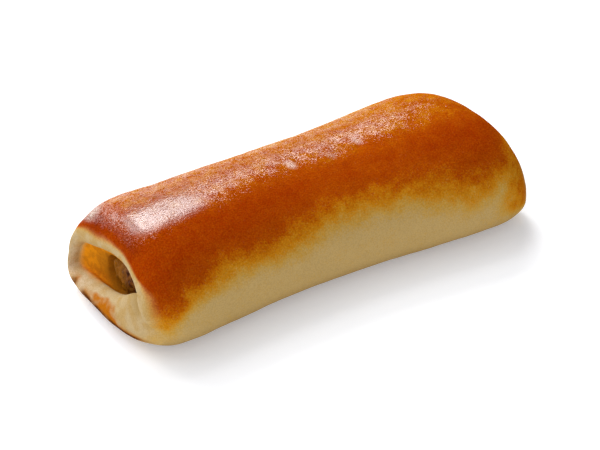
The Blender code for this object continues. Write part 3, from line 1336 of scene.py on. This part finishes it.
@dataclass
class Meat:
    """The core of minced meat, with its coarse faces."""

    form: RollForm
    finish: MeatFinish = MeatFinish()
    ring_points: int = 180
    face_steps: int = 34
    gap: float = 0.45
    dome: float = 1.8
    edge_round: float = 1.6
    edge_from: float = 0.85               # share of the face's radius where its edge begins to round
    edge_power: int = 8
    lumps: float = 0.9
    lump_size: float = 3.0
    lump_seed: int = 7
    crumbs: Lumps = Lumps(((1.3, 11, 0.5),))
    lumps_within: Fall = Fall(1.0, 0.12)  # in shares of the radius: the lumps fade at the edge
    glow_and_seep_reach: Rise = Rise(-5.0, 8.0)          # from the neck's middle towards the pocket's back wall and its painted glow
    glow_and_seep_lean: float = 0.8

    def face(self, end: End, angle: np.ndarray) -> list[np.ndarray]:
        """Rings over one face.

        Args:
            end: the end that the face is at.
            angle: angles round a ring, in radians.

        Returns:
            The rings, from the face's edge to its middle.
        """
        edge_y, edge_z = self.form.channel_section(end.meat_x, angle, self.gap)
        centre_y, centre_z = edge_y.mean(), edge_z.mean()
        rings = [np.stack(np.broadcast_arrays(end.meat_x - end.side * self.edge_round, edge_y, edge_z), -1)]
        for step in range(1, self.face_steps + 1):
            radius = 1 - step / (self.face_steps + 1)
            y = centre_y + radius * (edge_y - centre_y)
            z = centre_z + radius * (edge_z - centre_z)
            flat = np.stack([np.zeros_like(y), y, z], -1)
            coarse = grain(flat, self.lump_size, self.lump_seed + end.side) + self.crumbs.at(flat)
            out = self.dome * (1 - radius ** 2) + self.lumps * coarse * self.lumps_within.at(radius)
            if radius > self.edge_from:
                out -= self.edge_round * (1 - np.sqrt(1 - radius ** self.edge_power))
            rings.append(np.stack([end.meat_x + end.side * out, y, z], -1))
        return rings

    def soaked(self, points: np.ndarray) -> np.ndarray:
        """Where the near half takes an orange of seeping meat juices and painted glow, beside the pocket's
        back wall.

        Args:
            points: the core's points, in the form's own place.

        Returns:
            A value from 0 to 1 for each point.
        """
        middle_y, middle_z = self.form.neck[:2]
        towards_wall = points[:, 1] - middle_y - self.glow_and_seep_lean * (points[:, 2] - middle_z)
        return self.glow_and_seep_reach.at(towards_wall) * (points[:, 0] < 0)

    def build(self, place: np.ndarray) -> bpy.types.Object:
        """Build the core and dress it.

        Args:
            place: what is added to a point of the form, in millimetres, to bring it into the frame.

        Returns:
            The finished piece.
        """
        angle = np.linspace(0, 2 * np.pi, self.ring_points, endpoint=False)
        rings = self.face(NEAR_END, angle)[::-1]
        for x in self.form.channel_stations:
            section = self.form.channel_section(x, angle, self.gap)
            rings.append(np.stack(np.broadcast_arrays(x, *section), -1))
        rings += self.face(FAR_END, angle)
        faces = ring_faces(len(rings), self.ring_points, closed=False)
        tips = np.array([rings[0].mean(axis=0), rings[-1].mean(axis=0)])
        points = np.concatenate([*rings, tips])
        near_tip, far_tip = len(points) - 2, len(points) - 1
        last_ring = near_tip - self.ring_points
        for i in range(self.ring_points):
            after = (i + 1) % self.ring_points
            faces.append((near_tip, after, i))
            faces.append((far_tip, last_ring + i, last_ring + after))
        masks = {"soaked": self.soaked(points)}
        points[:, 2] -= self.form.rest_flat
        piece = make_piece("meat_core", (points + place) * MM, faces, self.finish.material(), masks)
        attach(piece, "root")
        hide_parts("filling")
        return piece


@dataclass(frozen=True)
class Softbox:
    """A rectangular soft light that faces a point on the roll."""

    name: str
    direction: tuple[float, float, float]  # from the roll towards the light
    distance: float                        # metres
    size: tuple[float, float]              # metres
    power: float                           # watts

    def build(self, target: Vector) -> None:
        """Add the light to the scene.

        Args:
            target: the point that it faces.
        """
        light = bpy.data.lights.new(self.name, "AREA")
        light.shape = "RECTANGLE"
        light.size, light.size_y = self.size
        light.energy = self.power
        lamp = bpy.data.objects.new(self.name, light)
        away = Vector(self.direction).normalized()
        lamp.location = target + away * self.distance
        lamp.rotation_euler = away.to_track_quat("Z", "Y").to_euler()
        bpy.context.scene.collection.objects.link(lamp)


@dataclass
class Studio:
    """Floor, soft lights and camera. Sizes are in metres, the lens in millimetres."""

    floor_finish: FloorFinish = FloorFinish()
    floor_half_size: float = 4.0
    floor_drop: float = 0.00005
    azimuth: float = -33.5              # degrees
    elevation: float = 35.22
    distance: float = 0.5102
    target: tuple[float, float, float] = (-0.00515, -0.00546, 0.015)
    lens: float = 100.0
    sensor: float = 36.0
    clip_start: float = 0.01
    sky: float = 0.28
    sky_colour: Colour = (1.0, 1.0, 1.0)
    lights: tuple[Softbox, ...] = (
        Softbox("key", (0.12, 0.66, 0.72), 1.00, (0.43, 0.21), 3.5),
        Softbox("top_back", (0.10, 0.45, 0.89), 1.00, (0.32, 0.22), 1.4),
        Softbox("ridge_panel", (0.49, 0.66, 0.56), 1.00, (0.30, 0.26), 1.75),
        Softbox("top_left", (-0.38, 0.33, 0.86), 1.10, (0.70, 0.70), 3.8),
        Softbox("back_panel", (0.10, 0.95, 0.28), 1.00, (0.90, 0.50), 0.6),
        Softbox("back_low", (0.10, 0.99, 0.07), 1.00, (0.90, 0.16), 0.6),
        Softbox("back_left", (-0.34, 0.80, 0.48), 1.00, (0.25, 0.60), 2.3),
        Softbox("front_fill", (-0.66, -0.46, 0.60), 0.70, (0.80, 0.80), 1.80),
    )

    def build(self) -> None:
        """Build the floor, the lights, the sky light and the camera."""
        half = self.floor_half_size
        corners = [(-half, -half), (half, -half), (half, half), (-half, half)]
        points = np.array([(x, y, -self.floor_drop) for x, y in corners])
        floor = make_piece("studio_floor", points, [(0, 1, 2, 3)], self.floor_finish.material())
        world = bpy.data.worlds.new("studio")
        world.use_nodes = True
        background = world.node_tree.nodes["Background"]
        background.inputs["Color"].default_value = (*self.sky_colour, 1.0)
        background.inputs["Strength"].default_value = self.sky
        bpy.context.scene.world = world
        target = Vector(self.target)
        for box in self.lights:
            box.build(target)
        self.add_camera(target)

    def add_camera(self, target: Vector) -> None:
        """Set the camera at the photograph's viewing angle.

        Args:
            target: the point that it faces.
        """
        lens = bpy.data.cameras.new("camera")
        lens.lens = self.lens
        lens.sensor_width = self.sensor
        lens.clip_start = self.clip_start
        azimuth, elevation = np.radians(self.azimuth), np.radians(self.elevation)
        level = np.cos(elevation)
        back = Vector((np.sin(azimuth) * level, -np.cos(azimuth) * level, np.sin(elevation)))
        camera = bpy.data.objects.new("camera", lens)
        camera.location = target + back * self.distance
        camera.rotation_euler = back.to_track_quat("Z", "Y").to_euler()
        bpy.context.scene.collection.objects.link(camera)
        bpy.context.scene.camera = camera


def main() -> None:
    """Build each piece in turn."""
    logging.basicConfig(level=logging.INFO, format="%(name)s: %(message)s")
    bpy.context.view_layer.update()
    form = RollForm()
    low, high = (np.array(corner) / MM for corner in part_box("dough"))
    dough = Dough(form)
    bare = np.concatenate(dough.skin(dough.angles()).points)
    place = (low + high) / 2 - (bare.min(axis=0) + bare.max(axis=0)) / 2
    place[2] = 0.0
    for piece in (dough.build(place), Meat(form).build(place)):
        LOG.info("%s: %d points", piece.name, len(piece.data.vertices))
    Studio().build()
    bpy.context.scene.view_settings.view_transform = "Standard"


if __name__ == "__main__":
    main()
